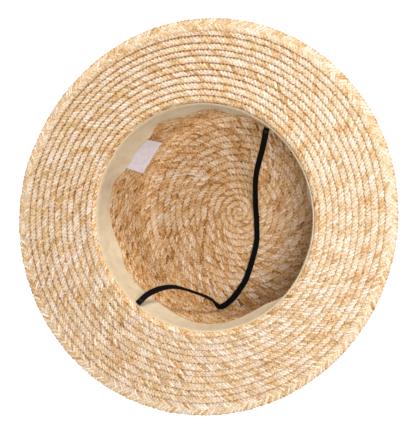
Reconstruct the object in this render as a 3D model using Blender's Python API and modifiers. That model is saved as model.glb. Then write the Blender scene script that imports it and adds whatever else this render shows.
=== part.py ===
# Straw hat with a flat-topped crown and a wide brim, lying upside down on the tip of its crown.
# Metres, +Z up. +X and -X are the sides where the chin strap is fixed, and +Y is the back of the hat.
# The origin is under the middle of the hat's box, on the surface that the crown's tip rests on.

import math

import bmesh
import bpy
from mathutils import Vector

# Straw braid: rows sewn half over each other
STRAW_WALL = 0.0014         # thickness of the sewn braid between its steps
ROW_STEP = 0.0007           # height of the edge where one row lies over the next
ROW_PITCH = 0.0057          # from one row's edge to the next

# Crown, measured on the inner face of the straw
OPENING_RADIUS = 0.0925     # where the wall turns out into the brim
CROWN_DEPTH = 0.1010        # from the brim's plane to the tip
SHOULDER_RADIUS = 0.0862    # where the wall meets the rounded shoulder
SHOULDER_ROUND = 0.0140     # radius of the shoulder between tip and wall
BRIM_ROLL = 0.0050          # radius of the bend between wall and brim

# Brim
BRIM_HALF_LENGTH = 0.1643   # half of the oval brim's long way, near the strap's sides
BRIM_HALF_WIDTH = 0.1577    # half of its short way, near front and back
BRIM_OVAL_TURN = -9.0       # degrees from +X to the oval's long way
BRAID_END_STEP = 0.0014     # how far the edge comes in where the braid ends
BRAID_END_TURN = 100.0      # degrees round from +X to the braid's end
BRAID_END_EASE = 60.0       # degrees over which the last row comes in
BRAID_END_NOSE = 14.0       # degrees from the braid's end back to the full brim

# Sweatband
BAND_WIDTH = 0.0220
BAND_THICKNESS = 0.0010
BAND_LEAN = 0.0040          # how far its free edge leans in from the wall, on the whole
BAND_SEAM_DEPTH = 0.0030    # from the brim's plane down to the seam

# How much of its lean the sweatband's free edge has, round the opening
BAND_WAVES = (
    # degrees from +X, share of BAND_LEAN
    (6, 0.70),
    (14, 0.45),
    (26, 0.95),
    (36, 0.30),
    (53, 1.05),
    (67, 0.20),
    (77, 1.50),
    (99, 1.50),
    (110, 0.10),
    (124, 0.20),
    (147, 1.30),
    (158, 0.65),
    (183, 1.05),
    (211, 0.20),
    (248, 1.30),
    (263, 0.20),
    (285, 0.90),
    (305, 0.40),
    (325, 1.00),
    (345, 0.40),
)

# Label, hanging from the sweatband's free edge at the back
LABEL_LENGTH = 0.0295
LABEL_WIDTH = 0.0170
LABEL_THICKNESS = 0.0010
LABEL_TURN = 89.0           # degrees round from +X to its middle
LABEL_SKEW = 12.0           # degrees that it is turned in its own plane
LABEL_LEAN = 41.0           # degrees that its middle hangs in from straight down
LABEL_TWIST = 16.0          # degrees more that it hangs in at its -X end than at its +X end
LABEL_CURL = 0.0012         # how far its middle bows

# Chin strap: a round cord here, with the same amount of rubber and thread as the flat elastic
STRAP_RADIUS = 0.0012
STRAP_SPACING = 0.0066      # between the points of its smooth line

# Points of the strap's middle line in millimetres, from the +X side down along the tip and up to -X
STRAP_ROUTE = (
    (87.9, -0.2, 100.0),
    (81.2, -1.0, 92.0),
    (68.4, -1.9, 76.0),
    (59.8, -1.9, 65.0),
    (46.6, -2.6, 49.0),
    (36.6, -4.2, 36.5),
    (28.8, -6.2, 26.5),
    (17.0, -10.6, 13.8),
    (7.2, -16.4, 6.9),
    (-2.5, -23.2, 4.7),
    (-10.4, -28.6, 4.4),
    (-24.6, -34.6, 4.4),
    (-41.2, -39.9, 4.4),
    (-49.6, -40.7, 4.5),
    (-58.0, -40.9, 4.9),
    (-67.3, -39.8, 6.6),
    (-73.1, -37.4, 11.0),
    (-71.9, -34.6, 18.0),
    (-68.2, -30.8, 28.5),
    (-66.8, -24.9, 41.0),
    (-67.4, -16.8, 52.5),
    (-68.6, -9.1, 63.0),
    (-70.9, -4.1, 71.5),
    (-75.2, -0.2, 81.5),
    (-81.5, 2.5, 91.5),
    (-87.9, 2.6, 99.8),
)

# Fineness of the solids
STRAW_SEGMENTS = 36
BAND_SEGMENTS = 44
BAND_ROWS = 3

GAP = 0.0003                # between two pieces that touch
MERGE = 0.00001
MILLIMETRE = 0.001


# The hat's section, along the inner face of the straw

FLOOR_Z = STRAW_WALL + ROW_STEP
BRIM_Z = FLOOR_Z + CROWN_DEPTH
TIP_RADIUS = SHOULDER_RADIUS - SHOULDER_ROUND


def wall_slope():
    """Angle of the wall out from upright, from the shoulder to the brim's roll."""
    rise = CROWN_DEPTH - SHOULDER_ROUND - BRIM_ROLL
    return math.atan2(OPENING_RADIUS - SHOULDER_RADIUS, rise)


def section_stretches():
    """The section's stretches in order, each with its length and how sharply it bends (0 is straight)."""
    slope = wall_slope()
    turn = math.pi / 2 - slope
    shoulder_end = Vector((
        TIP_RADIUS + SHOULDER_ROUND * math.sin(turn),
        FLOOR_Z + SHOULDER_ROUND * (1 - math.cos(turn)),
    ))
    roll_start_z = BRIM_Z - BRIM_ROLL * math.sin(turn) * math.tan(turn / 2)
    wall_length = (roll_start_z - shoulder_end.y) / math.cos(slope)
    brim_length = max(BRIM_HALF_LENGTH, BRIM_HALF_WIDTH)
    return (
        (TIP_RADIUS, 0.0),
        (SHOULDER_ROUND * turn, 1 / SHOULDER_ROUND),
        (wall_length, 0.0),
        (BRIM_ROLL * turn, -1 / BRIM_ROLL),
        (brim_length, 0.0),
    )


def on_section(distance):
    """The point (radius, z) on the inner face at a distance along it from the tip's middle, and its heading."""
    place = Vector((0.0, FLOOR_Z))
    heading = 0.0
    left = distance
    for length, bend in section_stretches():
        step = min(left, length)
        if bend:
            half = step * bend / 2
            chord = 2 * math.sin(half) / bend
            heading += half
            place += chord * Vector((math.cos(heading), math.sin(heading)))
            heading += half
        else:
            place += step * Vector((math.cos(heading), math.sin(heading)))
        left -= step
        if left <= 0:
            break
    return place, heading


def length_to_brim():
    """Distance along the inner face from the tip's middle to where the brim runs flat."""
    return sum(length for length, bend in section_stretches()[:4])


def joint_row():
    """The row at whose edge the crown ends and the brim begins, in the middle of the roll."""
    roll = section_stretches()[3][0]
    return round((length_to_brim() - roll / 2) / ROW_PITCH)


def full_radius():
    return max(BRIM_HALF_LENGTH, BRIM_HALF_WIDTH)


def brim_end():
    """Distance along the inner face to the brim's edge."""
    place, heading = on_section(length_to_brim())
    return length_to_brim() + full_radius() - place.x


def off_section(distance, out):
    """A point at a distance along the inner face and a height out from it, towards the hat's outer face."""
    place, heading = on_section(distance)
    return place + out * Vector((math.sin(heading), -math.cos(heading)))


def row_edges(start, end):
    """The stretches (from, to, row) of the rows between two distances along the section."""
    first = math.floor(start / ROW_PITCH + 0.001)
    stretches = []
    row = first
    while row * ROW_PITCH < end - 0.05 * ROW_PITCH:
        near = max(start, row * ROW_PITCH)
        far = min(end, (row + 1) * ROW_PITCH)
        stretches.append((near, far, row))
        row += 1
    return stretches


def inner_face(start, end):
    """Points of the stepped inner face: each row's near edge stands proud of the row before it."""
    points = []
    for near, far, row in row_edges(start, end):
        points.append(off_section(near, -ROW_STEP if row else 0.0))
        points.append(off_section(far, 0.0))
    return points


def outer_face(start, end):
    """Points of the stepped outer face: each row's far edge stands proud of the row after it."""
    points = []
    for near, far, row in row_edges(start, end):
        points.append(off_section(near, STRAW_WALL))
        points.append(off_section(far, STRAW_WALL + ROW_STEP))
    return points


def pressed_face(start, end):
    """Points of an outer face that is pressed smooth over the rows' far edges."""
    points = [off_section(start, STRAW_WALL + ROW_STEP)]
    for near, far, row in row_edges(start, end):
        points.append(off_section(far, STRAW_WALL + ROW_STEP))
    return points


# Building blocks

def clear_scene():
    for thing in list(bpy.data.objects):
        bpy.data.objects.remove(thing, do_unlink=True)


def make_material(name, colour, roughness):
    material = bpy.data.materials.new(name)
    material.use_nodes = True
    shader = material.node_tree.nodes["Principled BSDF"]
    shader.inputs["Base Color"].default_value = (*colour, 1.0)
    shader.inputs["Roughness"].default_value = roughness
    shader.inputs["Metallic"].default_value = 0.0
    return material


def add_piece(name, data, material, collection):
    piece = bpy.data.objects.new(name, data)
    data.materials.append(material)
    collection.objects.link(piece)
    return piece


def turn_profile(piece, segments):
    """Turns the profile in the XZ plane right round Z."""
    screw = piece.modifiers.new("turn", "SCREW")
    screw.axis = "Z"
    screw.angle = 2 * math.pi
    screw.steps = segments
    screw.render_steps = segments
    screw.use_merge_vertices = True
    screw.merge_threshold = MERGE
    screw.use_normal_calculate = False
    return screw


def profile_mesh(name, points, closed):
    """A mesh of edges through (radius, z) points, at +X."""
    outline = bpy.data.meshes.new(name)
    corners = [(point[0], 0.0, point[1]) for point in points]
    edges = [(i, i + 1) for i in range(len(corners) - 1)]
    if closed:
        edges.append((len(corners) - 1, 0))
    outline.from_pydata(corners, edges, [])
    return outline


def settle(piece):
    """Turns the piece's modifiers into its own mesh, with every face pointing out."""
    view = bpy.context.evaluated_depsgraph_get()
    shaped = bpy.data.meshes.new_from_object(piece.evaluated_get(view))
    piece.modifiers.clear()
    piece.data = shaped


def smooth_rows(piece, degrees):
    piece.data.shade_smooth()
    piece.data.set_sharp_from_angle(angle=math.radians(degrees))


def face_out(piece):
    cage = bmesh.new()
    cage.from_mesh(piece.data)
    bmesh.ops.remove_doubles(cage, verts=cage.verts, dist=MERGE)
    bmesh.ops.recalc_face_normals(cage, faces=cage.faces)
    cage.to_mesh(piece.data)
    cage.free()


def smooth_share(share):
    """0 to 1 with a level start and end."""
    share = min(1.0, max(0.0, share))
    return share * share * (3 - 2 * share)


def round_table(table, degrees):
    """Reads a table of (degrees, share) that runs right round, smoothly between its rows."""
    degrees %= 360
    rows = [(table[-1][0] - 360, table[-1][1]), *table, (table[0][0] + 360, table[0][1])]
    for (low, from_share), (high, to_share) in zip(rows, rows[1:]):
        if low <= degrees <= high:
            part = smooth_share((degrees - low) / (high - low))
            return from_share + (to_share - from_share) * part
    return table[0][1]


# Pieces

def make_crown(material, collection):
    """The bowl, from the flat tip over the rounded shoulder and up the wall into the first half of the roll."""
    end = joint_row() * ROW_PITCH - GAP
    outer = pressed_face(0.0, end)
    inner = inner_face(0.0, end)
    profile = outer + list(reversed(inner))
    crown = add_piece("crown", profile_mesh("crown", profile, False), material, collection)
    turn_profile(crown, STRAW_SEGMENTS)
    settle(crown)
    face_out(crown)
    smooth_rows(crown, 35)
    return crown


def brim_edge(degrees):
    """Radius of the brim's edge: an oval, drawn in where the last row is eased under and the braid ends."""
    turn = math.radians(degrees - BRIM_OVAL_TURN)
    across = math.cos(turn) / BRIM_HALF_LENGTH
    along = math.sin(turn) / BRIM_HALF_WIDTH
    oval = 1 / math.hypot(across, along)
    before = (BRAID_END_TURN - degrees) % 360
    after = (degrees - BRAID_END_TURN) % 360
    eased = smooth_share(1 - before / BRAID_END_EASE)
    nose = smooth_share(1 - after / BRAID_END_NOSE)
    return oval - BRAID_END_STEP * max(eased, nose)


def make_brim(material, collection):
    """The wide flat brim, with the second half of the roll at its inner edge."""
    start = joint_row() * ROW_PITCH
    inner = inner_face(start, brim_end())
    outer = outer_face(start, brim_end())
    profile = inner + list(reversed(outer))
    brim = add_piece("brim", profile_mesh("brim", profile, True), material, collection)
    turn_profile(brim, STRAW_SEGMENTS)
    settle(brim)
    flat_from = OPENING_RADIUS + BRIM_ROLL
    for corner in brim.data.vertices:
        radius = math.hypot(corner.co.x, corner.co.y)
        if radius > flat_from:
            degrees = math.degrees(math.atan2(corner.co.y, corner.co.x))
            share = (radius - flat_from) / (full_radius() - flat_from)
            stretched = flat_from + share * (brim_edge(degrees) - flat_from)
            corner.co.x *= stretched / radius
            corner.co.y *= stretched / radius
    face_out(brim)
    smooth_rows(brim, 35)
    return brim


def wall_radius(z):
    """Radius of the wall's inner face at a height, between the shoulder and the roll."""
    return OPENING_RADIUS - (BRIM_Z - BRIM_ROLL - z) * math.tan(wall_slope())


def band_lean(degrees):
    return BAND_LEAN * round_table(BAND_WAVES, degrees)


def band_radius(degrees, down):
    """Radius of the sweatband's middle at a share of its width down from the seam."""
    z = band_z(down)
    seated = wall_radius(z) - ROW_STEP - GAP - BAND_THICKNESS / 2
    return seated - band_lean(degrees) * down ** 1.4


def band_z(down):
    return BRIM_Z - BAND_SEAM_DEPTH - BAND_WIDTH * down


def make_sweatband(material, collection):
    """A cloth band sewn on at its upper edge, its lower edge free, waved and leaning in."""
    points = [(OPENING_RADIUS, band_z(i / BAND_ROWS)) for i in range(BAND_ROWS + 1)]
    band = add_piece("sweatband", profile_mesh("sweatband", points, False), material, collection)
    turn_profile(band, BAND_SEGMENTS)
    settle(band)
    for corner in band.data.vertices:
        degrees = math.degrees(math.atan2(corner.co.y, corner.co.x))
        down = max(0.0, (band_z(0.0) - corner.co.z) / BAND_WIDTH)
        radius = band_radius(degrees, down)
        corner.co.x = radius * math.cos(math.radians(degrees))
        corner.co.y = radius * math.sin(math.radians(degrees))
    wall = band.modifiers.new("cloth", "SOLIDIFY")
    wall.thickness = BAND_THICKNESS
    wall.offset = 0.0
    settle(band)
    face_out(band)
    smooth_rows(band, 50)
    return band


def make_label(material, collection):
    """A woven tab whose upper edge meets the sweatband's free edge and which hangs inwards."""
    bpy.ops.mesh.primitive_grid_add(x_subdivisions=6, y_subdivisions=3, size=1.0)
    label = bpy.context.object
    for holder in list(label.users_collection):
        holder.objects.unlink(label)
    collection.objects.link(label)
    label.name = "label"
    label.data.name = "label"
    label.data.materials.append(material)
    turn = math.radians(LABEL_TURN)
    skew = math.radians(LABEL_SKEW)
    outwards = Vector((math.cos(turn), math.sin(turn), 0.0))
    sideways = Vector((math.sin(turn), -math.cos(turn), 0.0))
    upwards = Vector((0.0, 0.0, 1.0))
    seat = outwards * (band_radius(LABEL_TURN, 1.0) + chord_rise(LABEL_LENGTH / 2))
    seat.z = band_z(1.0) - GAP - LABEL_THICKNESS
    for corner in label.data.vertices:
        along = corner.co.x * LABEL_LENGTH
        down = (0.5 - corner.co.y) * LABEL_WIDTH
        bow = LABEL_CURL * (1 - (2 * corner.co.x) ** 2) * (0.5 - corner.co.y)
        shifted = along + down * math.tan(skew)
        lean = math.radians(LABEL_LEAN - LABEL_TWIST * corner.co.x)
        hanging = -outwards * math.sin(lean) - upwards * math.cos(lean)
        facing = -outwards * math.cos(lean) + upwards * math.sin(lean)
        drop = hanging * down + facing * bow
        curve = -outwards * chord_rise(along)
        corner.co = seat + sideways * shifted + drop + curve
    wall = label.modifiers.new("cloth", "SOLIDIFY")
    wall.thickness = LABEL_THICKNESS
    wall.offset = 0.0
    settle(label)
    face_out(label)
    smooth_rows(label, 50)
    return label


def chord_rise(along):
    """How far the sweatband's free edge curves away from its tangent at a distance along the label."""
    radius = band_radius(LABEL_TURN, 1.0)
    return radius - math.sqrt(radius ** 2 - along ** 2)


def smooth_line(route, spacing):
    """Evenly spaced points on a smooth curve through the route's points."""
    places = [Vector(point) * MILLIMETRE for point in route]
    ends = [2 * places[0] - places[1], *places, 2 * places[-1] - places[-2]]
    fine = []
    for a, b, c, d in zip(ends, ends[1:], ends[2:], ends[3:]):
        for i in range(12):
            t = i / 12
            fine.append(0.5 * (
                2 * b
                + (c - a) * t
                + (2 * a - 5 * b + 4 * c - d) * t ** 2
                + (3 * b - a - 3 * c + d) * t ** 3
            ))
    fine.append(places[-1])
    total = sum((q - p).length for p, q in zip(fine, fine[1:]))
    count = round(total / spacing)
    line = [fine[0]]
    walked = 0.0
    for p, q in zip(fine, fine[1:]):
        stretch = (q - p).length
        while len(line) < count and walked + stretch >= len(line) * total / count:
            line.append(p.lerp(q, (len(line) * total / count - walked) / stretch))
        walked += stretch
    line.append(fine[-1])
    return line


def make_chin_strap(material, collection):
    """The elastic strap, from its seam at +X down across the tip and up to its seam at -X."""
    line = smooth_line(STRAP_ROUTE, STRAP_SPACING)
    curve = bpy.data.curves.new("chin_strap", "CURVE")
    curve.dimensions = "3D"
    curve.bevel_depth = STRAP_RADIUS
    curve.bevel_resolution = 2
    curve.use_fill_caps = True
    spline = curve.splines.new("POLY")
    spline.points.add(len(line) - 1)
    for point, place in zip(spline.points, line):
        point.co = (*place, 1.0)
    return add_piece("chin_strap", curve, material, collection)


def main():
    clear_scene()
    hat = bpy.data.collections.new("straw_hat")
    bpy.context.scene.collection.children.link(hat)
    straw = make_material("straw_braid", (0.76, 0.55, 0.30), 0.55)
    band_cloth = make_material("band_cloth", (0.66, 0.55, 0.37), 0.85)
    label_cloth = make_material("label_cloth", (0.70, 0.64, 0.66), 0.60)
    elastic = make_material("elastic", (0.010, 0.009, 0.010), 0.70)
    make_crown(straw, hat)
    make_brim(straw, hat)
    make_sweatband(band_cloth, hat)
    make_label(label_cloth, hat)
    make_chin_strap(elastic, hat)


main()
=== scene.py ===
import math

import bpy
import numpy as np
from mathutils import Matrix, Vector


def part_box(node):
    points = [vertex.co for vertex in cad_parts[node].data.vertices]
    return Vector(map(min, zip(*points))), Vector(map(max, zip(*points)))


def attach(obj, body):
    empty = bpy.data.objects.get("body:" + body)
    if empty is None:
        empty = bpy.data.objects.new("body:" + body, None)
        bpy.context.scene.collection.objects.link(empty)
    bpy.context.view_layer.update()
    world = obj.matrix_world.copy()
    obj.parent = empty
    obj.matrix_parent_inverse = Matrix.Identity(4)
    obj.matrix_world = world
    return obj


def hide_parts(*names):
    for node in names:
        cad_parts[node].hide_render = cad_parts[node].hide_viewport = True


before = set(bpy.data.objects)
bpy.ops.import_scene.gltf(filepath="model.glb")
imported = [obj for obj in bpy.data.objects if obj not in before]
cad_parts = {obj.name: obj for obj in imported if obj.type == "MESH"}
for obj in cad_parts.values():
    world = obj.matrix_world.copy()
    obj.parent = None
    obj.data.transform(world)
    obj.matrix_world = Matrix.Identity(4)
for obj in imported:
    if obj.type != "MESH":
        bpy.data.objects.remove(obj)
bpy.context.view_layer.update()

mm = 0.001
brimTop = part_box("brim")[1].z
rng = np.random.default_rng(57)

# The straw's section is the solids' own: flat tip, rounded shoulder, wall, roll and flat brim
hat = {
    "wall": 1.4 * mm,
    "rowStep": 0.7 * mm,
    "rowPitch": 5.7 * mm,  # from one row's edge to the next
    "openingRadius": 92.5 * mm,
    "shoulderRadius": 86.2 * mm,
    "shoulderRound": 14.0 * mm,
    "rollRadius": 5.0 * mm,
    "longHalf": 164.3 * mm,
    "shortHalf": 157.7 * mm,
    "ovalTurn": -9.0,      # degrees
    "endTurn": 100.0,      # degrees round to where the braid ends
    "endStep": 1.4 * mm,   # how far the edge is drawn in there
    "endEase": 60.0,       # degrees before the end over which it draws in
    "endNose": 14.0,       # degrees past the end over which it comes out again
}
hat["floorZ"] = hat["wall"] + hat["rowStep"]
hat["brimZ"] = brimTop - hat["rowStep"]
hat["wallSlope"] = math.atan2(hat["openingRadius"] - hat["shoulderRadius"],
                              hat["brimZ"] - hat["floorZ"] - hat["shoulderRound"] - hat["rollRadius"])


def addObject(name, data):
    piece = bpy.data.objects.new(name, data)
    bpy.context.scene.collection.objects.link(piece)
    return piece


# Camera: nearly over the upturned hat, far away through a long lens
photo = {
    "tilt": 18.0,       # degrees off straight down
    "side": -43.6,      # degrees round from +X to the camera's side
    "roll": 9.4,        # degrees
    "distance": 1.600,  # metres
    "lens": 164.9,      # millimetres
    "sensor": 36.0,     # millimetres
    "clipEnd": 20.0,    # metres
    "right": 4.7 * mm,  # from the hat's axis at the brim to the picture's middle
    "up": 1.3 * mm,
}


def cameraAxes():
    # Right, up and back of the camera in the hat's own axes
    tilt, side, roll = (math.radians(photo[k]) for k in ("tilt", "side", "roll"))
    back = Vector((math.sin(tilt) * math.cos(side), math.sin(tilt) * math.sin(side), math.cos(tilt)))
    level = Vector((-math.sin(side), math.cos(side), 0.0))
    down = Vector((math.cos(tilt) * math.cos(side), math.cos(tilt) * math.sin(side), -math.sin(tilt)))
    right = math.cos(roll) * down - math.sin(roll) * level
    up = math.sin(roll) * down + math.cos(roll) * level
    return right, up, back


def makeCamera():
    right, up, back = cameraAxes()
    aim = Vector((0.0, 0.0, hat["brimZ"])) + photo["right"] * right + photo["up"] * up
    camera = addObject("camera", bpy.data.cameras.new("camera"))
    camera.data.lens = photo["lens"]
    camera.data.sensor_width = photo["sensor"]
    camera.data.clip_end = photo["clipEnd"]
    turned = Matrix((right, up, back)).transposed().to_4x4()
    camera.matrix_world = Matrix.Translation(aim + photo["distance"] * back) @ turned
    bpy.context.scene.camera = camera


makeCamera()
print("camera set")


# Small helpers

def linear(hexColour):
    # sRGB hex as the linear values that Blender works with
    values = [int(hexColour[i:i + 2], 16) / 255 for i in (1, 3, 5)]
    return [v / 12.92 if v <= 0.04045 else ((v + 0.055) / 1.055) ** 2.4 for v in values] + [1.0]


def addNode(tree, kind, settings=None, links=None):
    # A node with its settings, by attribute or socket name, and links {socket: (node, output)}
    node = tree.nodes.new(kind)
    for name, value in (settings or {}).items():
        if isinstance(name, int) or name in node.inputs:
            node.inputs[name].default_value = value
        else:
            setattr(node, name, value)
    for name, (source, output) in (links or {}).items():
        tree.links.new(source.outputs[output], node.inputs[name])
    return node


def newMaterial(name, settings):
    # A material whose shader's own sockets hold the settings
    material = bpy.data.materials.new(name)
    material.use_nodes = True
    tree = material.node_tree
    shader = tree.nodes["Principled BSDF"]
    for socket, value in settings.items():
        shader.inputs[socket].default_value = value
    return material, tree, shader


# The next ones take and give (node, output) pairs

def link(tree, pair, node, socket):
    tree.links.new(pair[0].outputs[pair[1]], node.inputs[socket])


def addMath(tree, operation, *values):
    # Works on numbers and pairs
    settings = {"operation": operation}
    settings.update((i, value) for i, value in enumerate(values) if not isinstance(value, tuple))
    links = {i: value for i, value in enumerate(values) if isinstance(value, tuple)}
    return addNode(tree, "ShaderNodeMath", settings, links), "Value"


def addRange(tree, value, start, end, first=0.0, last=1.0):
    # Maps the range from start to end onto the one from first to last
    settings = {"From Min": start, "From Max": end, "To Min": first, "To Max": last}
    return addNode(tree, "ShaderNodeMapRange", settings, {"Value": value}), "Result"


def addNoise(tree, where, scale, detail):
    return addNode(tree, "ShaderNodeTexNoise", {"Scale": scale, "Detail": detail}, {"Vector": where}), "Fac"


def addRibs(tree, where, apart, direction, distortion, detailScale=1.0):
    # Soft bands so many units apart; a wave of scale 1 has 3.18 of them in a unit
    settings = {"wave_type": "BANDS", "bands_direction": direction, "Scale": 1 / apart / 3.18,
                "Distortion": distortion, "Detail Scale": detailScale}
    return addNode(tree, "ShaderNodeTexWave", settings, {"Vector": where}), "Fac"


def addColours(tree, factor, stops):
    # A colour ramp from (position, hex) stops
    node = addNode(tree, "ShaderNodeValToRGB", None, {"Fac": factor})
    elements = node.color_ramp.elements
    while len(elements) > 1:
        elements.remove(elements[-1])
    elements[0].position, elements[0].color = stops[0][0], linear(stops[0][1])
    for position, colour in stops[1:]:
        elements.new(position).color = linear(colour)
    return node, "Color"


def addTint(tree, base, factor, colour, blend="MULTIPLY"):
    # Lays one colour over the base, by a factor
    settings = {"data_type": "RGBA", "blend_type": blend}
    node = addNode(tree, "ShaderNodeMix", settings, {"A": base, "Factor": factor})
    node.inputs["B"].default_value = linear(colour)
    return node, "Result"


def addBump(tree, shader, height, strength, distance):
    bump = addNode(tree, "ShaderNodeBump", {"Strength": strength, "Distance": distance}, {"Height": height})
    link(tree, (bump, "Normal"), shader, "Normal")


def placeMesh(name, mesh, material, smoothTo):
    # Puts a finished mesh in the scene, shaded smooth below an angle
    mesh.materials.append(material)
    mesh.shade_smooth()
    mesh.set_sharp_from_angle(angle=math.radians(smoothTo))
    return addObject(name, mesh)


def addMesh(name, points, faces, material, smoothTo=50.0, uv=None):
    # A mesh piece from points and faces; uv holds one pair a corner
    mesh = bpy.data.meshes.new(name)
    mesh.from_pydata(np.asarray(points).tolist(), [], [list(face) for face in faces])
    if uv is not None:
        layer = mesh.uv_layers.new(name="cloth")
        layer.data.foreach_set("uv", np.asarray(uv, dtype=np.float32).ravel())
    mesh.validate()
    return placeMesh(name, mesh, material, smoothTo)


def cornerPairs(*corners):
    # One (u, v) pair a corner, from arrays of u and v for each of a quad's corners
    return np.stack([np.stack(pair, axis=1) for pair in corners], axis=1).reshape(-1, 2)


def ease(share):
    share = np.clip(share, 0.0, 1.0)
    return share * share * (3 - 2 * share)


def readRound(table, degrees):
    # Reads a table of (degrees, value) that runs right round, eased between its rows
    at = np.mod(np.asarray(degrees, float), 360.0)
    turns, values = np.array([table[-1], *table, table[0]], float).T
    turns[[0, -1]] += [-360, 360]
    low = np.searchsorted(turns, at, side="right") - 1
    part = ease((at - turns[low]) / (turns[low + 1] - turns[low]))
    return values[low] + (values[low + 1] - values[low]) * part


def smoothLine(route, spacing):
    # Evenly spaced points on a smooth curve through the route's points
    places = np.array(route, float) * mm
    ends = np.vstack([2 * places[0] - places[1], places, 2 * places[-1] - places[-2]])
    t = np.linspace(0, 1, 24, endpoint=False)[:, None]
    fine = []
    for a, b, c, d in zip(ends, ends[1:], ends[2:], ends[3:]):
        fine.append(0.5 * (2 * b + (c - a) * t + (2 * a - 5 * b + 4 * c - d) * t ** 2
                           + (3 * b - a - 3 * c + d) * t ** 3))
    fine = np.vstack(fine + [places[-1:]])
    along = np.concatenate([[0], np.cumsum(np.linalg.norm(np.diff(fine, axis=0), axis=1))])
    even = np.linspace(0, along[-1], round(along[-1] / spacing) + 1)
    return np.stack([np.interp(even, along, fine[:, k]) for k in range(3)], axis=1), along[-1]


def unit(vectors):
    return vectors / np.linalg.norm(vectors, axis=-1, keepdims=True)


# A stitch's shares of its length, with its rise in half thicknesses and its girth there
fineStitch = ((0.0, -0.6, 0.55), (0.18, 0.45, 1.0), (0.5, 0.75, 1.0), (0.82, 0.45, 1.0), (1.0, -0.6, 0.55))
plainStitch = ((0.0, -1.1, 0.7), (0.5, 0.6, 1.0), (1.0, -1.1, 0.7))


def addStitches(name, starts, ends, up, thickness, material, shape=fineStitch, sides=5):
    # Threads that dip in at both ends, each a closed sliver
    starts, ends, up = (np.asarray(part, float) for part in (starts, ends, up))
    along = unit(ends - starts)
    side = unit(np.cross(up, along))
    lift = np.cross(along, side)
    turn = (np.arange(sides) + 0.5) * 2 * math.pi / sides
    rings = []
    for share, rise, girth in shape:
        middle = starts + (ends - starts) * share + lift * rise * thickness / 2
        spokes = side[:, None] * np.cos(turn)[:, None] + lift[:, None] * np.sin(turn)[:, None]
        rings.append(middle[:, None] + spokes * girth * thickness / 2)
    points = np.stack(rings, axis=1).reshape(-1, 3)
    size = sides * len(shape)
    one = [tuple(reversed(range(sides))), tuple(range(size - sides, size))]
    for i in range(len(shape) - 1):
        for k in range(sides):
            j = (k + 1) % sides
            one.append((i * sides + k, i * sides + j, (i + 1) * sides + j, (i + 1) * sides + k))
    faces = [[corner + size * n for corner in face] for n in range(len(starts)) for face in one]
    piece = addMesh(name, points, faces, material, 80.0)
    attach(piece, "root")
    return piece


def makeThread(name, colours):
    # Spun thread, cotton or polyester: dull, faintly hairy, with the light broken by its twist
    material, tree, shader = newMaterial(name, {"Roughness": 0.7})
    where = addNode(tree, "ShaderNodeTexCoord")
    twist = addNoise(tree, (where, "Object"), 1 / (0.25 * mm), 1.0)
    link(tree, addColours(tree, twist, [(0.3, colours[0]), (0.7, colours[1])]), shader, "Base Color")
    addBump(tree, shader, twist, 0.4, 0.05 * mm)
    return material


# Chin strap: flat ribbed elastic, sewn in at both sides of the opening and fallen into the crown
strap = {
    "width": 4.9 * mm,
    "thickness": 1.1 * mm,
    "ribs": 7,          # rubber threads that show as ribs along it
    "ribDepth": 0.10 * mm,
    "spacing": 1.4 * mm,
    "tackRows": 4,
    "tackStep": 0.55 * mm,
    "tackReach": 0.40,  # share of its width, to each side
    "tackLift": 0.52,   # share of its thickness
    "tackLean": 0.4,    # share of a step, to each side
    "tackThread": 0.36 * mm,
    "route": (          # millimetres, the solids' own route and a little more at both seams
        (90.6, 0.1, 101.3), (87.9, -0.2, 100.0), (81.2, -1.0, 92.0), (68.4, -1.9, 76.0),
        (59.8, -1.9, 65.0), (46.6, -2.6, 49.0), (36.6, -4.2, 36.5), (28.8, -6.2, 26.5),
        (17.0, -10.6, 13.8), (7.2, -16.4, 6.9), (-2.5, -23.2, 4.7), (-10.4, -28.6, 4.4),
        (-24.6, -34.6, 4.4), (-41.2, -39.9, 4.4), (-49.6, -40.7, 4.5), (-58.0, -40.9, 4.9),
        (-67.3, -39.8, 6.6), (-73.1, -37.4, 11.0), (-71.9, -34.6, 18.0), (-68.2, -30.8, 28.5),
        (-66.8, -24.9, 41.0), (-67.4, -16.8, 52.5), (-68.6, -9.1, 63.0), (-70.9, -4.1, 71.5),
        (-75.2, -0.2, 81.5), (-81.5, 2.5, 91.5), (-87.9, 2.6, 99.8), (-90.6, 2.7, 101.3),
    ),
    "twist": (          # share of its length, degrees that it is turned away from facing the camera
        (0.00, 8.0), (0.25, -28.0), (0.45, -22.0), (0.58, 0.0), (0.64, 8.0), (0.675, 40.0),
        (0.71, 72.0), (0.83, 76.0), (0.90, 40.0), (0.95, 6.0), (1.00, 4.0),
    ),
}


def makeElastic():
    # Braided elastic: black polyester over rubber, dull, its ribs catching a thin line of light
    material, tree, shader = newMaterial("braidedElastic", {"Roughness": 0.8, "Specular IOR Level": 0.12})
    where = (addNode(tree, "ShaderNodeUVMap", {"uv_map": "cloth"}), "UV")
    # Crossing threads 0.45 mm apart; its UV is in millimetres round and along the band
    size = addNode(tree, "ShaderNodeMapping", {"Scale": (1 / 0.45, 1 / 0.45, 1.0)}, {"Vector": where})
    across = {"Rotation": (0, 0, math.radians(45))}
    turned = addNode(tree, "ShaderNodeMapping", across, {"Vector": (size, "Vector")})
    threads = addNode(tree, "ShaderNodeTexChecker", {"Scale": 1.0}, {"Vector": (turned, "Vector")})
    # Dust, in patches some 3 mm wide
    dust = addNoise(tree, where, 0.35, 3.0)
    link(tree, addColours(tree, dust, [(0.35, "#040304"), (0.75, "#0c0a0c")]), shader, "Base Color")
    addBump(tree, shader, (threads, "Fac"), 0.35, 0.08 * mm)
    return material


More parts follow.
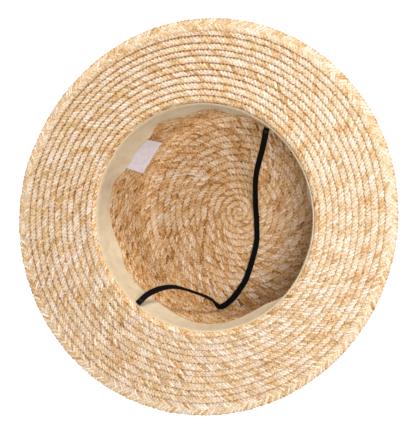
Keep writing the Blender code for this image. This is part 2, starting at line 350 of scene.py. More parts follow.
def ribbedSection():
    # Once round the elastic: flat faces with ribs, rounded edges
    steps = strap["ribs"] * 4
    depth = strap["ribDepth"] / strap["thickness"]
    top = [(x, 0.5 - depth * (0.5 - 0.5 * math.cos(2 * math.pi * strap["ribs"] * i / steps)))
           for i, x in enumerate(np.linspace(0.42, -0.42, steps + 1))]
    half = top + [(-0.485, 0.28), (-0.5, 0.0), (-0.485, -0.28)]
    return np.array(half + [(-x, -y) for x, y in half]) * [strap["width"], strap["thickness"]]


def makeStrap():
    line, length = smoothLine(strap["route"], strap["spacing"])
    share = np.linspace(0, 1, len(line))
    along = unit(np.gradient(line, axis=0))
    facing = np.array(cameraAxes()[2])
    across = unit(np.cross(facing, along))
    out = np.cross(along, across)
    twist = np.radians(np.interp(share, *zip(*strap["twist"])))[:, None]
    width = across * np.cos(twist) + out * np.sin(twist)
    thick = np.cross(along, width)
    section = ribbedSection()
    points = line[:, None] + width[:, None] * section[:, :1] + thick[:, None] * section[:, 1:]
    count, steps = len(section), len(line) - 1
    ring = np.arange(count)
    after = (ring + 1) % count
    rows = np.arange(steps)[:, None] * count
    quads = np.stack([rows + ring, rows + count + ring, rows + count + after, rows + after], axis=-1)
    ends = [list(range(count)), [steps * count + i for i in reversed(range(count))]]
    around = np.concatenate([[0], np.cumsum(np.linalg.norm(section - section[after], axis=1))]) / mm
    u, nextU = np.tile(around[:-1], steps), np.tile(around[1:], steps)
    v = np.repeat(np.arange(steps) * length / steps / mm, count)
    nextV = v + length / steps / mm
    uv = cornerPairs((u, v), (u, nextV), (nextU, nextV), (nextU, v))
    uv = np.concatenate([uv, section / mm, section[::-1] / mm])
    faces = quads.reshape(-1, 4).tolist() + ends
    piece = addMesh("chinStrap", points.reshape(-1, 3), faces, makeElastic(), uv=uv)
    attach(piece, "root")
    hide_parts("chin_strap")
    makeTacks(line, along, width, thick)


def makeTacks(line, along, width, thick):
    # Both ends are tacked down with a few passes of black thread across the elastic
    starts, ends, up = [], [], []
    thread = makeThread("blackPolyesterThread", ("#060506", "#141214"))
    for end, step in ((2, 1), (len(line) - 3, -1)):
        inward = 1.0 if np.dot(thick[end], [0, 0, 1]) > 0 else -1.0
        for row in range(strap["tackRows"]):
            middle = line[end] + along[end] * step * row * strap["tackStep"]
            face = middle + thick[end] * inward * strap["thickness"] * strap["tackLift"]
            reach = width[end] * strap["width"] * strap["tackReach"]
            lean = along[end] * strap["tackStep"] * strap["tackLean"]
            starts.append(face - reach - lean)
            ends.append(face + reach + lean)
            up.append(thick[end] * inward)
    piece = addStitches("strapTacks", starts, ends, up, strap["tackThread"], thread)


makeStrap()
print("chin strap laid")


# The straw's section, worked out along the inner face from the tip's middle

def sectionStretches():
    # Length and bend of each stretch: flat tip, shoulder, wall, roll, brim
    slope = hat["wallSlope"]
    turn = math.pi / 2 - slope
    shoulderTop = hat["floorZ"] + hat["shoulderRound"] * (1 - math.cos(turn))
    rollFoot = hat["brimZ"] - hat["rollRadius"] * math.sin(turn) * math.tan(turn / 2)
    return [
        (hat["shoulderRadius"] - hat["shoulderRound"], 0.0),
        (hat["shoulderRound"] * turn, 1 / hat["shoulderRound"]),
        ((rollFoot - shoulderTop) / math.cos(slope), 0.0),
        (hat["rollRadius"] * turn, -1 / hat["rollRadius"]),
        (hat["longHalf"], 0.0),
    ]


def onSection(distance):
    # Radius, height and heading on the inner face, for an array of distances from the tip's middle
    distance = np.asarray(distance, float)
    radius = np.zeros_like(distance)
    height = np.full_like(distance, hat["floorZ"])
    heading = np.zeros_like(distance)
    left = distance.copy()
    for length, bend in sectionStretches():
        step = np.minimum(left, length)
        half = step * bend / 2
        chord = 2 * np.sin(half) / bend if bend else step
        heading = heading + half
        radius = radius + chord * np.cos(heading)
        height = height + chord * np.sin(heading)
        heading = heading + half
        left = left - step
    return radius, height, heading


lengthToBrim = sum(length for length, bend in sectionStretches()[:4])
flatFrom = float(onSection(np.array([lengthToBrim]))[0][0])
lengthToEdge = lengthToBrim + hat["longHalf"] - flatFrom


def brimEdge(degrees):
    # Radius of the brim's edge, an oval drawn in where the braid ends
    turn = np.radians(degrees - hat["ovalTurn"])
    oval = 1 / np.hypot(np.cos(turn) / hat["longHalf"], np.sin(turn) / hat["shortHalf"])
    before = np.mod(hat["endTurn"] - degrees, 360.0)
    after = np.mod(degrees - hat["endTurn"], 360.0)
    drawn = np.maximum(ease(1 - before / hat["endEase"]), ease(1 - after / hat["endNose"]))
    return oval - hat["endStep"] * drawn


# Sewn straw: one seven-end plait wound in a spiral from the tip to the brim's edge
braid = {
    "ends": 7,
    "paleEnds": 4,              # bleached straws, side by side, which give the light patches
    "width": 11.3 * mm,
    "repeat": 21.0 * mm,        # along the plait until a straw is back at the same edge
    "strawWidth": 2.00 * mm,
    "strawThickness": 0.50 * mm,
    "strawLength": (130 * mm, 240 * mm),
    "layer": 0.24 * mm,         # half the height between a straw over and a straw under
    "lap": 1.20 * mm,           # how far a row's near edge stands up over the row before
    "middle": -0.70 * mm,       # the sewn straw's middle, from the inner face
    "start": -3.4 * mm,
    "centreDraw": 4.0 * mm,     # how much the first rows are drawn together
    "centreTurns": 1.6,         # over which that fades
    "lastInset": 1.6 * mm,      # of the last row from the solids' edge
    "lastEase": (0.70, 1.02),   # shares of the last turn over which the row is eased under
    "rowWobble": 0.252 * mm,    # how unevenly the rows were guided under the needle
    "wobbles": (                # swings a radian, phase, share of it
        (0.731, 0.4, 1.0), (1.327, 2.1, 0.7), (2.619, 4.4, 0.5), (5.317, 1.2, 0.4), (9.743, 0.0, 0.3),
    ),
    "brimWave": 0.7 * mm,
    "alongJitter": 0.30 * mm,   # how unevenly the straws lie
    "acrossJitter": 0.20 * mm,
    "heightJitter": 0.08 * mm,
    "rockJitter": 16.0,         # degrees
    "jitterLimit": 2.2,
    "girth": (1.05, 0.11),      # of a straw's width, its mean and how much it varies
    "paleTone": (0.17, 0.07),   # mean and spread, from pale (0) to deep honey (1)
    "honeyTone": (0.40, 0.09),
    "ripeTone": (0.62, 0.06),
    "ripeShare": 0.02,
    "crossingShade": 0.09,      # how much a straw's crossings differ
    "patch": 20.8333 * mm,      # bleached unevenly, in soft patches this wide
    "crownDepth": 14 * mm,      # below the brim, where the crown's look has come in
    "crownTone": (0.90, 0.19),  # the crown's tones are deeper, so it reads darker: their factor and rise
    "crownShade": 0.13,         # how much more its crossings differ
    "crownCover": 0.45,         # how much thinner its painted seam lines are
    "wallShadeTint": (18 * mm, 60 * mm, 25 * mm),  # depth below the brim; start from the middle, ease
    "fineReach": 42 * mm,       # from the middle, sewn from the finest, most even straws
    "fineTone": (0.44, 0.55),   # the tone that those come near, and how near
    "fineCover": 0.40,
    "seamShadeTurn": 37.0,           # degrees round to where the painted seam shade is darkest, towards the key lamp
    "pressed": 0.95,            # how much fainter that painted shade is on the other side
    "tightGap": 4.6 * mm,       # rows nearer to each other than this show no seam
    "tightCover": 30.0,
    "freeCover": 99.0,          # for the last row, which has none over it
    "wallShadeTintShare": 0.70,      # the rest of the painted warm shade is the whole crown's
    "cuts": (88 * mm, 6 * mm),  # below the brim, where the tip and the wall end as pieces
}

# One straw's way through the plait: share of a repeat, place across (0 near edge, 1 far edge), over or under
strawWay = (
    (0.02, 0.00, 0.0), (0.10, 0.20, 1.0), (0.21, 0.42, 1.0), (0.29, 0.58, -1.0), (0.40, 0.80, -1.0),
    (0.48, 1.00, 0.0), (0.52, 1.00, 0.0), (0.60, 0.80, 1.0), (0.71, 0.58, 1.0), (0.79, 0.42, -1.0),
    (0.90, 0.20, -1.0), (0.98, 0.00, 0.0),
)

lastReach = lengthToEdge - braid["width"] - braid["start"] + braid["centreDraw"] - braid["lastInset"]
lastStart = 2 * math.pi * lastReach / hat["rowPitch"]
allTurns = lastStart + 2 * math.pi


def rowDistance(turn):
    # Distance along the section to the row's near edge at a turn (radians) of the spiral
    lastShare = np.clip((turn - lastStart) / (2 * math.pi), 0.0, 1.0)
    low, high = braid["lastEase"]
    drawn = hat["rowPitch"] * lastShare * ease((lastShare - low) / (high - low))
    fade = np.clip(turn / (6 * math.pi), 0.0, 1.0) * np.clip((allTurns - turn) / (2 * math.pi), 0.0, 1.0)
    wobble = sum(share * np.sin(swings * turn + phase) for swings, phase, share in braid["wobbles"])
    tight = braid["centreDraw"] * (1 - np.exp(-turn / (2 * math.pi * braid["centreTurns"])))
    even = braid["start"] + hat["rowPitch"] * turn / (2 * math.pi)
    return even - tight - drawn + braid["rowWobble"] * wobble * fade


def turnDegrees(turn):
    return hat["endTurn"] + np.degrees(turn - allTurns)


def farEdge(degrees):
    # Distance along the section to the outermost row's far edge, all round
    share = np.mod(degrees - hat["endTurn"], 360.0) / 360.0
    return rowDistance(lastStart + share * 2 * math.pi) + braid["width"]


def onStraw(turn, distance, height):
    # Points, normals and the way outwards, at a distance along the section and a height off its face
    radius, z, heading = onSection(distance)
    degrees = turnDegrees(turn)
    angle = np.radians(degrees)
    # The rows are stretched a little so that the last one ends at the oval edge
    reach = flatFrom + farEdge(degrees) - lengthToBrim
    stretch = (brimEdge(degrees) - flatFrom) / (reach - flatFrom)
    beyond = np.maximum(radius - flatFrom, 0.0)
    radius = np.where(radius > flatFrom, flatFrom + beyond * stretch, radius)
    share = beyond / (hat["longHalf"] - flatFrom)
    # The brim dips and rises a little, two and three times round, and most at its edge
    wave = np.sin(2 * angle + 0.6) * 0.6 + np.sin(3 * angle + 2.0) * 0.4
    z = z + braid["brimWave"] * share ** 1.5 * wave

    def turned(outwards, upwards):
        return np.stack([outwards * np.cos(angle), outwards * np.sin(angle), upwards], axis=-1)

    normal = turned(-np.sin(heading), np.cos(heading))
    return turned(radius, z) + normal * height[..., None], normal, turned(np.cos(heading), np.sin(heading))


def spiralLength():
    # The spiral's turns and its length to each, along the plait's middle
    turns = np.linspace(0.0, allTurns, 24000)
    radius = onSection(rowDistance(turns) + braid["width"] / 2)[0]
    steps = np.diff(turns) * (radius[1:] + radius[:-1]) / 2
    return turns, np.concatenate([[0.0], np.cumsum(steps)])


def strawTones(length):
    # Where each end's straws begin, and their tones
    tones = []
    for end in range(braid["ends"]):
        starts, values, at = [], [], -rng.uniform(0, braid["strawLength"][0])
        usual = braid["paleTone"] if end < braid["paleEnds"] else braid["honeyTone"]
        while at < length:
            tone = rng.normal(*usual)
            if rng.random() < braid["ripeShare"]:
                tone = rng.normal(*braid["ripeTone"])
            starts.append(at)
            values.append(min(max(tone, 0.0), 1.0))
            at += rng.uniform(*braid["strawLength"])
        tones.append((np.array(starts), np.array(values)))
    return tones


strawColours = [
    (0.00, "#fdeedc"), (0.20, "#f5dec0"), (0.42, "#ebc791"),
    (0.62, "#daa865"), (0.82, "#bc8341"), (1.00, "#835222"),
]


def makeStraw():
    # Split wheat straw, plaited damp: waxy and smooth, so it glints in streaks along its fibres
    material, tree, shader = newMaterial("plaitedWheatStraw", {"IOR": 1.48})
    where = (addNode(tree, "ShaderNodeUVMap", {"uv_map": "straw"}), "UV")

    def painted(name):
        return addNode(tree, "ShaderNodeAttribute", {"attribute_name": name}), "Fac"

    def streaks(acrossMm, alongMm, detail):
        scale = {"Scale": (1 / acrossMm, 1 / alongMm, 1.0)}
        size = addNode(tree, "ShaderNodeMapping", scale, {"Vector": where})
        return addNoise(tree, (size, "Vector"), 1.0, detail)

    fibres = streaks(0.25, 7.0, 2.0)
    splits = streaks(0.80, 2.2, 1.0)
    grains = streaks(0.42, 1.60, 1.0)
    ripening = streaks(4.0, 16.0, 1.0)
    patches = addNoise(tree, (addNode(tree, "ShaderNodeTexCoord"), "Object"), 1 / braid["patch"], 1.0)
    blend = painted("tone")
    for layer, amount in ((fibres, 0.40), (splits, 1.00), (ripening, 0.70), (grains, 1.30), (patches, 0.55)):
        blend = addMath(tree, "MULTIPLY_ADD", layer, amount, blend)
    # Brought back from the layers' sum to the colours' range
    colour = addColours(tree, addMath(tree, "MULTIPLY_ADD", blend, 0.82, -1.571), strawColours)
    # Painted shade in the gaps between neighbouring straws, with the cut edges' own browner colour; an edge is
    # where u is a whole number of straw widths
    split = addNode(tree, "ShaderNodeSeparateXYZ", None, {"Vector": where})
    bow = addMath(tree, "SINE", addMath(tree, "MULTIPLY", (split, "X"), math.pi * mm / braid["strawWidth"]))
    edge = addRange(tree, addMath(tree, "ABSOLUTE", bow), 0.20, 0.70, 0.42, 0.0)
    colour = addTint(tree, colour, edge, "#c08a50")
    # Painted shade where the straws fold over the plait's edge, in the gaps between the folds, with some
    # darkening of the cracked straw
    colour = addTint(tree, colour, addRange(tree, painted("fold"), 0.84, 0.98, 0.0, 0.34), "#a27238")
    # The seam between two rows is a thin brown line: painted shade under the next row's edge, with some
    # dust and old size. Past it the straws lie under the next row, and show only on the hat's other face
    cover = painted("cover")
    near, under = addRange(tree, cover, 1.05, 0.15, 0.0, 0.92), addRange(tree, cover, -1.0, -0.4)
    colour = addTint(tree, colour, addMath(tree, "MULTIPLY", near, under), "#9c6430")
    # Painted shade: the crown, and most of all its wall, is tinted warmer and a little darker, as in shade
    colour = addTint(tree, colour, painted("shadeTint"), "#fff3df")
    # Brown specks where leaf joints were
    specks = addRange(tree, streaks(0.8, 1.6, 0.0), 0.68, 0.74, 0.0, 0.6)
    link(tree, addTint(tree, colour, specks, "#80522a", "MIX"), shader, "Base Color")
    link(tree, addRange(tree, splits, 0.3, 0.7, 0.20, 0.46), shader, "Roughness")
    ridges = addMath(tree, "MULTIPLY_ADD", splits, 1.5, fibres)
    ridges = addMath(tree, "MULTIPLY_ADD", grains, 1.5, ridges)
    addBump(tree, shader, ridges, 1.0, 0.26 * mm)
    return material


def strandSamples(total):
    # For each end of the plait: lengths along it, places across it, and over or under
    share, across, over = np.array(strawWay).T
    repeats = np.arange(math.floor(total / braid["repeat"]) + 3)
    strands = []
    for end in range(braid["ends"]):
        at = (repeats[:, None] - end / braid["ends"] + share).ravel() * braid["repeat"]
        keep = (at >= 0) & (at <= total)
        strands.append((at[keep], np.tile(across, len(repeats))[keep], np.tile(over, len(repeats))[keep]))
    return strands


def makeBraid():
    turns, lengths = spiralLength()
    total = float(lengths[-1])
    tones = strawTones(total)
    straw = makeStraw()
    strands = strandSamples(total)
    # Each piece takes a stretch of the spiral, so that none is too heavy
    tip, join = (float(np.interp(lengthToBrim - up, rowDistance(turns), lengths)) for up in braid["cuts"])
    cuts = [0.0, tip, (tip + join) / 2, join, (join + total) / 2, total]
    names = [("tipBraid", "crown"), ("lowerWallBraid", "crown"), ("upperWallBraid", "crown"),
             ("innerBrimBraid", "brim"), ("outerBrimBraid", "brim")]
    for (name, node), low, high in zip(names, cuts, cuts[1:]):
        piece = braidPiece(name, strands, tones, turns, lengths, low, high, straw)
        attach(piece, "root")
        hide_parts(node)
        print(name, len(piece.data.polygons) * 2, "triangles")


def strawShape(across, over, turn, jitter):
    # Place across the plait, middle line, and the four long edges of one end's ribbon
    place = braid["strawWidth"] / 2 + across * (braid["width"] - braid["strawWidth"])
    place = place + braid["acrossJitter"] * jitter[0]
    lap = braid["lap"] * (1 - 2 * place / braid["width"])
    height = braid["middle"] + lap + over * braid["layer"] + braid["heightJitter"] * jitter[1]
    middle, normal, ahead = onStraw(turn, rowDistance(turn) + place, height)
    lean = unit(normal + 2 * braid["lap"] / braid["width"] * ahead)
    side = unit(np.cross(lean, unit(np.gradient(middle, axis=0))))
    rock = (np.radians(braid["rockJitter"]) * jitter[2])[:, None]
    c, s = np.cos(rock), np.sin(rock)
    side, lean = unit(side * c + lean * s), unit(lean * c - side * s)
    mean, varied = braid["girth"]
    side = side * (braid["strawWidth"] / 2 * (mean + varied * jitter[3]))[:, None]
    lean = lean * braid["strawThickness"] / 2
    return place, middle, np.stack([middle - side, middle + lean, middle + side, middle - lean], axis=1)


def strawPaint(end, at, across, turn, place, tones, shades):
    # What the material reads: tone, fold (1 at the plait's edges), cover (millimetres short of the next
    # row's edge, and more where the painted seam shade shows less) and shadeTint, painted warm shade in the
    # crown
    starts, values = tones
    distance = rowDistance(turn)
    below = lengthToBrim - distance
    deeper = ease(below / braid["crownDepth"])
    crossing = np.floor(2 * at / braid["repeat"] + 2 * end / braid["ends"]).astype(int)
    factor, rise = braid["crownTone"]
    tone = values[np.searchsorted(starts, at, side="right") - 1]
    tone = tone * (1 - (1 - factor) * deeper) + rise * deeper
    tone = tone + shades[crossing] * (braid["crossingShade"] + braid["crownShade"] * deeper)
    finest = ease(1 - distance / braid["fineReach"])
    fineTone, near = braid["fineTone"]
    tone = tone + (fineTone - tone) * near * finest
    gap = rowDistance(turn + 2 * math.pi) - distance
    cover = (gap - place) / mm + braid["tightCover"] * ease((braid["tightGap"] - gap) / mm)
    cover = np.where(turn > lastStart, braid["freeCover"], cover)
    cover = cover + braid["crownCover"] * deeper - braid["fineCover"] * finest
    # Painted shade: the seam lines are darkest on the side towards the key lamp, and fainter further round
    pressed = (0.5 - 0.5 * np.cos(np.radians(turnDegrees(turn) - braid["seamShadeTurn"]))) ** 0.6
    cover = cover + braid["pressed"] * pressed
    # Painted shade: how much of the warm shade tint each point of the crown gets, most on its wall
    wallDepth, wallStart, wallEase = braid["wallShadeTint"]
    inWall = ease(below / wallDepth) * ease((distance - wallStart) / wallEase)
    shadeTint = deeper + (inWall - deeper) * braid["wallShadeTintShare"]
    return {"tone": tone, "fold": np.abs(2 * across - 1), "cover": cover, "shadeTint": shadeTint}


def quadMesh(name, points, faces, uv, values):
    # A mesh of quads from whole arrays, with one number a point for each named value
    mesh = bpy.data.meshes.new(name)
    mesh.vertices.add(len(points))
    mesh.vertices.foreach_set("co", points.astype(np.float32).ravel())
    mesh.loops.add(faces.size)
    mesh.loops.foreach_set("vertex_index", faces.astype(np.int32).ravel())
    mesh.polygons.add(len(faces))
    mesh.polygons.foreach_set("loop_start", np.arange(0, faces.size, 4, dtype=np.int32))
    mesh.update(calc_edges=True)
    layer = mesh.uv_layers.new(name="straw")
    layer.data.foreach_set("uv", uv.astype(np.float32).ravel())
    for key, parts in values.items():
        layer = mesh.attributes.new(key, "FLOAT", "POINT")
        layer.data.foreach_set("value", np.concatenate(parts).astype(np.float32))
    return mesh


def braidPiece(name, strands, tones, turns, lengths, low, high, straw):
    # The straws between two lengths along the plait, each a flat closed ribbon of lens section
    points, faces, uv, values = [], [], [], {}
    corner = np.arange(4)
    nextCorner = (corner + 1) % 4
    step = braid["strawWidth"] / 2 / mm
    base = 0
    for end, (at, across, over) in enumerate(strands):
        inside = np.nonzero((at >= low) & (at <= high))[0]
        # One sample more, so that the next piece's straw goes on from this one's end
        if inside[-1] + 1 < len(at) and high < lengths[-1]:
            inside = np.append(inside, inside[-1] + 1)
        draw = np.random.default_rng(100 + end)
        jitter = np.clip(draw.normal(0, 1, (5, len(at))), -braid["jitterLimit"], braid["jitterLimit"])
        shades = draw.normal(0, 1, int(2 * lengths[-1] / braid["repeat"]) + 8)
        turn = np.interp(at + braid["alongJitter"] * jitter[4], lengths, turns)
        place, middle, ribbon = strawShape(across, over, turn, jitter)
        points.append(ribbon[inside].reshape(-1, 3))
        paint = strawPaint(end, at[inside], across[inside], turn[inside], place[inside], tones[end], shades)
        for key, value in paint.items():
            values.setdefault(key, []).append(np.repeat(value, 4))
        count = len(inside)
        rows = base + 4 * np.arange(count - 1)[:, None]
        quads = np.stack([rows + corner, rows + nextCorner, rows + 4 + nextCorner, rows + 4 + corner], axis=-1)
        faces += [quads.reshape(-1, 4), np.array([base + corner[::-1], base + 4 * (count - 1) + corner])]
        # Each end's straws take their own stretch of the pattern
        walked = np.concatenate([[0], np.cumsum(np.linalg.norm(np.diff(middle, axis=0), axis=1))])[inside] / mm
        v, nextV = (np.repeat(part + 400 * end, 4) for part in (walked[:-1], walked[1:]))
        u = np.tile(corner * step, count - 1)
        uv.append(cornerPairs((u, v), (u + step, v), (u + step, nextV), (u, nextV)))
        uv.append(np.array([(0.0, 0.0), (step, 0.0), (step, 0.4), (0.0, 0.4)] * 2))
        base += 4 * count
    mesh = quadMesh(name, np.concatenate(points), np.concatenate(faces), np.concatenate(uv), values)
    return placeMesh(name, mesh, straw, 70.0)


# Sewing: one line of thread holds each row to the row before and shows on both faces
sewing = {
    "step": 6.6 * mm,
    "stepJitter": 0.5 * mm,
    "length": 2.6 * mm,
    "place": 2.4 * mm,  # from the upper row's near edge
    "thread": 0.38 * mm,
    "sunk": 0.02 * mm,
}


def makeSewing():
    turns, lengths = spiralLength()
    at = np.arange(4 * sewing["step"], lengths[-1] - 2 * sewing["step"], sewing["step"])
    at = at + rng.uniform(-1, 1, len(at)) * sewing["stepJitter"]
    first, last = (np.interp(value, lengths, turns) for value in (at, at + sewing["length"]))
    outside = braid["layer"] + braid["strawThickness"] / 2 - sewing["sunk"]
    thread = makeThread("strawColouredCottonThread", ("#d9c096", "#f0dfbc"))
    for name, side, place, firstTurn in (("innerSewing", 1, sewing["place"], 0.0),
                                         ("outerSewing", -1, sewing["place"] + hat["rowPitch"], 2 * math.pi)):
        lap = braid["lap"] * (1 - 2 * place / braid["width"])
        height = np.full_like(at, braid["middle"] + lap + side * outside)
        starts, normal, _ = onStraw(first, rowDistance(first) + sewing["place"], height)
        ends = onStraw(last, rowDistance(last) + sewing["place"], height)[0]
        keep = first > firstTurn
        piece = addStitches(name, starts[keep], ends[keep], (normal * side)[keep], sewing["thread"], thread,
                            plainStitch, 4)
        print(name, int(keep.sum()), "stitches")


makeBraid()
makeSewing()
print("straw plaited and sewn")


# Sweatband: plain cotton band, sewn on at its upper edge, its free edge waved
band = {
    "width": 22.0 * mm,
    "thickness": 0.9 * mm,
    "seamDepth": 2.4 * mm,      # of its sewn edge below the brim
    "lean": 4.0 * mm,           # how far its free edge leans in, times the waves
    "gap": 0.3 * mm,
    "inset": 0.5 * mm,          # of its middle from the wall's rows, and the gap
    "rollInset": 1.0 * mm,
    "around": 480,
    "down": 14,
    "hem": (0.86, 0.05, 0.35),  # share down to the fold, its ease and thickening
    "puckers": 84,              # small gathers under the seam, all round
    "puckerDepth": 0.22 * mm,
    "joinTurn": 93.0,           # degrees round to where its ends lap
    "joinWidth": 5.0,           # degrees of lap
    "joinEase": (0.8, 3.5),     # degrees over which the lap stands in, and falls back
    "joinStep": 0.6 * mm,
    "joinLine": 1.2,            # degrees into the lap where it is stitched down
    "stitch": 3.1 * mm,         # from one to the next
    "stitchShare": 0.74,        # of that, where the thread shows
    "seamLine": 0.085,          # share of its width down to the stitches
    "thread": 0.42 * mm,
    "waves": (                  # degrees round, share of its lean
        (6, 0.70), (14, 0.45), (26, 0.95), (36, 0.30), (53, 1.05), (67, 0.20), (77, 1.50),
        (99, 1.50), (110, 0.10), (124, 0.20), (147, 1.30), (158, 0.65), (183, 1.05), (211, 0.20),
        (248, 1.30), (263, 0.20), (285, 0.90), (305, 0.40), (319, 1.60), (330, 0.90), (345, 0.40),
    ),
}


def bandZ(down):
    return hat["brimZ"] - band["seamDepth"] - band["width"] * down


def bandRadius(degrees, down):
    # Radius of the sweatband's middle, all round and at a share of its width down from the seam
    down = np.clip(down, 0.0, 1.0)
    turn = np.radians(degrees)
    wall = hat["openingRadius"] - (hat["brimZ"] - hat["rollRadius"] - bandZ(down)) * math.tan(hat["wallSlope"])
    seated = wall - hat["rowStep"] - band["gap"] - band["inset"]
    # Its sewn edge follows the roll out towards the brim
    radius, z, _ = onSection(np.linspace(lengthToBrim - 30 * mm, lengthToBrim + 2 * mm, 400))
    seated = np.maximum(seated, np.interp(bandZ(down), z, radius) - band["rollInset"])
    # The waves grow towards its free edge, and the puckers fade out within a third of its width
    wave = band["lean"] * readRound(band["waves"], degrees) * down ** 1.4
    pucker = band["puckerDepth"] * np.sin(turn * band["puckers"] + 1.5 * np.sin(turn * 9))
    return seated - wave - pucker * np.exp(-down * 4) * np.clip(down * 6, 0, 1)


def bandLap(degrees):
    # How far the sweatband stands in where its ends lap
    past = np.mod(degrees - band["joinTurn"] + 180, 360) - 180
    rise, fall = band["joinEase"]
    return band["joinStep"] * ease(past / rise) * ease((band["joinWidth"] - past) / fall)


def makeCotton():
    # Plain cotton tape, unbleached beige: matt, with a fine cross weave that softens the light
    settings = {"Roughness": 0.85, "Specular IOR Level": 0.25, "Sheen Weight": 0.15, "Sheen Roughness": 0.5}
    material, tree, shader = newMaterial("unbleachedCottonTape", settings)
    where = (addNode(tree, "ShaderNodeUVMap", {"uv_map": "cloth"}), "UV")
    # Warp and weft 0.42 mm apart, and slubs some 8 mm long
    weave = addMath(tree, "MULTIPLY", *(addRibs(tree, where, 0.42, way, 0.6, 2.0) for way in ("X", "Y")))
    tinted = addMath(tree, "MULTIPLY_ADD", weave, 0.25, addNoise(tree, where, 0.12, 4.0))
    colour = addColours(tree, tinted, [(0.25, "#cbb38f"), (0.55, "#d8c3a1"), (0.95, "#e3d1b4")])
    link(tree, colour, shader, "Base Color")
    addBump(tree, shader, weave, 0.4, 0.12 * mm)
    return material


def clothShell(name, inner, outer, material, closedRound, uMm, vMm):
    # A closed cloth piece from two grids of points (rows down, columns round), inner face and outer face
    rows, columns = inner.shape[:2]
    face = np.arange(rows * columns).reshape(rows, columns)
    if closedRound:
        face = np.hstack([face, face[:, :1]])
    back = face + rows * columns
    sheets = [(face, uMm, vMm), (back[:, ::-1], uMm[::-1], vMm), (np.stack([back[0], face[0]]), uMm, (0, -1)),
              (np.stack([face[-1], back[-1]]), uMm, (vMm[-1], vMm[-1] + 1))]
    if not closedRound:
        sheets.append((np.stack([back[:, 0], face[:, 0]], axis=1), (1, 0), vMm))
        sheets.append((np.stack([face[:, -1], back[:, -1]], axis=1), (0, 1), vMm))
    faces, uv = [], []
    for grid, u, v in sheets:
        for found, values, size in ((faces, grid, 4), (uv, np.stack(np.meshgrid(u, v), axis=-1), 2)):
            corners = [values[:-1, :-1], values[1:, :-1], values[1:, 1:], values[:-1, 1:]]
            found.append(np.stack(corners, axis=2).reshape(-1, size))
    points = np.concatenate([inner.reshape(-1, 3), outer.reshape(-1, 3)])
    return addMesh(name, points, np.concatenate(faces).tolist(), material, uv=np.concatenate(uv))


def makeBand():
    degrees = np.arange(band["around"]) * 360.0 / band["around"]
    down = np.linspace(0, 1, band["down"] + 1)
    around, across = np.meshgrid(degrees, down)
    angle = np.radians(around)
    radius = bandRadius(around, across) - bandLap(around)
    fold, foldEase, thicker = band["hem"]
    half = band["thickness"] / 2 * (1 + thicker * np.clip((across - fold) / foldEase, 0, 1))
    inner, outer = (np.stack([r * np.cos(angle), r * np.sin(angle), bandZ(across)], axis=-1)
                    for r in (radius - half, radius + half))
    uMm = np.radians(np.append(degrees, 360.0)) * hat["openingRadius"] / mm
    vMm = down * band["width"] / mm
    piece = clothShell("sweatbandCloth", inner, outer, makeCotton(), True, uMm, vMm)
    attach(piece, "root")
    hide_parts("sweatband")


def bandPoint(degrees, down):
    # A point just inside the sweatband's inner face
    degrees, down = np.broadcast_arrays(np.asarray(degrees, float), down)
    radius = bandRadius(degrees, down) - bandLap(degrees) - band["thickness"] / 2 - 0.02 * mm
    angle = np.radians(degrees)
    return np.stack([radius * np.cos(angle), radius * np.sin(angle), bandZ(down)], axis=-1)


def makeBandStitches():
    # One row of lockstitch under the sewn edge, and one down the lap where the band's ends meet
    thread = makeThread("ecruPolyesterThread", ("#c2ab83", "#dccaa6"))
    count = round(2 * math.pi * hat["openingRadius"] / band["stitch"])
    first = np.arange(count) * 360.0 / count
    last = first + 360.0 / count * band["stitchShare"]
    down = np.arange(0.10, 0.92, 0.115)
    turn = band["joinTurn"] + band["joinLine"]
    starts = np.vstack([bandPoint(first, band["seamLine"]), bandPoint(turn, down)])
    ends = np.vstack([bandPoint(last, band["seamLine"]), bandPoint(turn, down + 0.082)])
    inward = unit(-starts * [1, 1, 0])
    piece = addStitches("sweatbandStitches", starts, ends, inward, band["thread"], thread)


makeBand()
makeBandStitches()
print("sweatband sewn in")


# Label: a small woven satin tab, its long upper edge held by the sweatband's free edge, left without words
label = {
    "length": 29.5 * mm,
    "width": 17.0 * mm,
    "thickness": 0.6 * mm,
    "endFold": (0.43, 0.02),   # share from its middle to the fold, and its ease
    "edgeFold": (0.90, 0.03),  # the same, down to its folded foot
    "turn": 89.0,              # degrees round the hat
    "drop": 1.0 * mm,          # of its upper edge under the sweatband's, and the gap
    "skew": 12.0,              # degrees that it hangs to one side
    "lean": 41.0,              # degrees in from straight down
    "twist": 16.0,             # degrees more at one end than at the other
    "curl": 1.2 * mm,
    "ripple": 0.18 * mm,
    "columns": 61,
    "rows": 35,
    "stitches": 12,
    "stitchLength": 0.055,     # share of its length
    "stitchLine": 0.09,        # share of its width down to them
    "thread": 0.34 * mm,
}


def makeSatin():
    # Woven satin ribbon, pale lilac white: smooth floats with a soft shine across the fine ribs
    material, tree, shader = newMaterial("wovenSatinRibbon", {"Roughness": 0.48, "Sheen Weight": 0.2})
    where = (addNode(tree, "ShaderNodeUVMap", {"uv_map": "cloth"}), "UV")
    # Faint clouds some 5 mm wide, and ribs 0.3 mm apart across the tab
    clouds = addNoise(tree, where, 0.2, 3.0)
    link(tree, addColours(tree, clouds, [(0.3, "#ccbec0"), (0.7, "#d9cdcf")]), shader, "Base Color")
    addBump(tree, shader, addRibs(tree, where, 0.3, "X", 0.3), 0.3, 0.05 * mm)
    return material


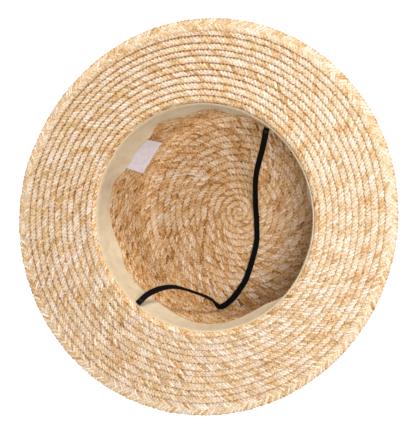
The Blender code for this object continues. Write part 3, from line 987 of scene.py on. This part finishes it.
def labelSurface(across, down):
    # Middle of the label's cloth and the way that it faces, at shares of its length and width
    turn = math.radians(label["turn"])
    outwards = np.array([math.cos(turn), math.sin(turn), 0.0])
    sideways = np.array([math.sin(turn), -math.cos(turn), 0.0])
    upwards = np.array([0.0, 0.0, 1.0])
    edge = float(bandRadius(np.array([label["turn"]]), np.array([1.0]))[0])
    rise = edge - np.sqrt(edge ** 2 - (across * label["length"]) ** 2)
    seat = outwards * (edge + edge - math.sqrt(edge ** 2 - (label["length"] / 2) ** 2))
    seat[2] = bandZ(1.0) - band["gap"] - label["drop"]
    lean = np.radians(label["lean"] - label["twist"] * across)[..., None]
    hanging = -outwards * np.sin(lean) - upwards * np.cos(lean)
    facing = -outwards * np.cos(lean) + upwards * np.sin(lean)
    bow = (label["curl"] * (1 - (2 * across) ** 2) * down)[..., None]
    drop = (down * label["width"])[..., None]
    aside = down * label["width"] * math.tan(math.radians(label["skew"]))
    along = (across * label["length"] + aside)[..., None]
    ripple = (label["ripple"] * np.sin(across * 19 + down * 5) * down)[..., None]
    middle = seat + sideways * along + hanging * drop + facing * (bow + ripple) - outwards * rise[..., None]
    return middle, facing


def makeLabel():
    u = np.linspace(0.5, -0.5, label["columns"])
    v = np.linspace(0.0, 1.0, label["rows"])
    across, down = np.meshgrid(u, v)
    middle, facing = labelSurface(across, down)
    # Thicker where it is folded
    folded = np.maximum(*(ease((share - fold) / over) for share, (fold, over) in
                          ((np.abs(across), label["endFold"]), (down, label["edgeFold"]))))
    half = (label["thickness"] / 2 * (0.75 + 0.5 * folded))[..., None]
    uMm = (0.5 - u) * label["length"] / mm
    vMm = v * label["width"] / mm
    inner, outer = middle + facing * half, middle - facing * half
    piece = clothShell("labelCloth", inner, outer, makeSatin(), False, uMm, vMm)
    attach(piece, "root")
    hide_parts("label")
    places = np.linspace(-0.46, 0.46, label["stitches"] + 1)[:-1]
    line = np.full_like(places, label["stitchLine"])
    starts, outward = labelSurface(places, line)
    ends, _ = labelSurface(places + label["stitchLength"], line)
    lift = outward * label["thickness"] * 0.40
    thread = makeThread("palePolyesterThread", ("#bcafb2", "#d2c7ca"))
    stitches = addStitches("labelStitches", starts + lift, ends + lift, outward, label["thread"], thread)


makeLabel()
print("label sewn on")


# Floor and light
studio = {
    "floor": "#f7f7f7",
    "floorSize": 30.0,
    "floorDrop": 0.6 * mm,  # the straws reach a little under the solids
    "world": 0.37,
    "glow": 0.45,
    "lamps": (              # name; towards the picture's right, its top, the camera; metres off, size, watts
        ("key", 0.12, 1.00, 0.62, 3.4, 1.0, 70.0),
        ("fill", 0.12, -0.12, 1.00, 2.4, 0.9, 45.0),
    ),
}


def makeStudio():
    # Seamless paper: matt, and lit through a little, so that the ground stays nearly white
    white = (1.0, 1.0, 1.0, 1.0)
    settings = {"Base Color": linear(studio["floor"]), "Roughness": 0.9, "Emission Color": white,
                "Emission Strength": studio["glow"]}
    material = newMaterial("paleSeamlessPaper", settings)[0]
    half = studio["floorSize"] / 2
    corners = [(-half, -half, 0), (half, -half, 0), (half, half, 0), (-half, half, 0)]
    floor = addMesh("floor", corners, [(0, 1, 2, 3)], material)
    floor.location.z = -studio["floorDrop"]
    world = bpy.data.worlds.new("studio")
    world.use_nodes = True
    background = world.node_tree.nodes["Background"]
    background.inputs["Color"].default_value = white
    background.inputs["Strength"].default_value = studio["world"]
    bpy.context.scene.world = world
    right, up, back = cameraAxes()
    for name, sideways, upwards, backwards, distance, size, power in studio["lamps"]:
        towards = (sideways * right + upwards * up + backwards * back).normalized()
        light = bpy.data.lights.new(name, "AREA")
        light.shape = "SQUARE"
        light.size = size
        light.energy = power
        lamp = addObject(name, light)
        lamp.location = Vector((0, 0, hat["brimZ"])) + towards * distance
        lamp.rotation_mode = "QUATERNION"
        lamp.rotation_quaternion = towards.to_track_quat("Z", "Y")
    bpy.context.scene.view_settings.view_transform = "Standard"


makeStudio()
print("studio lit")
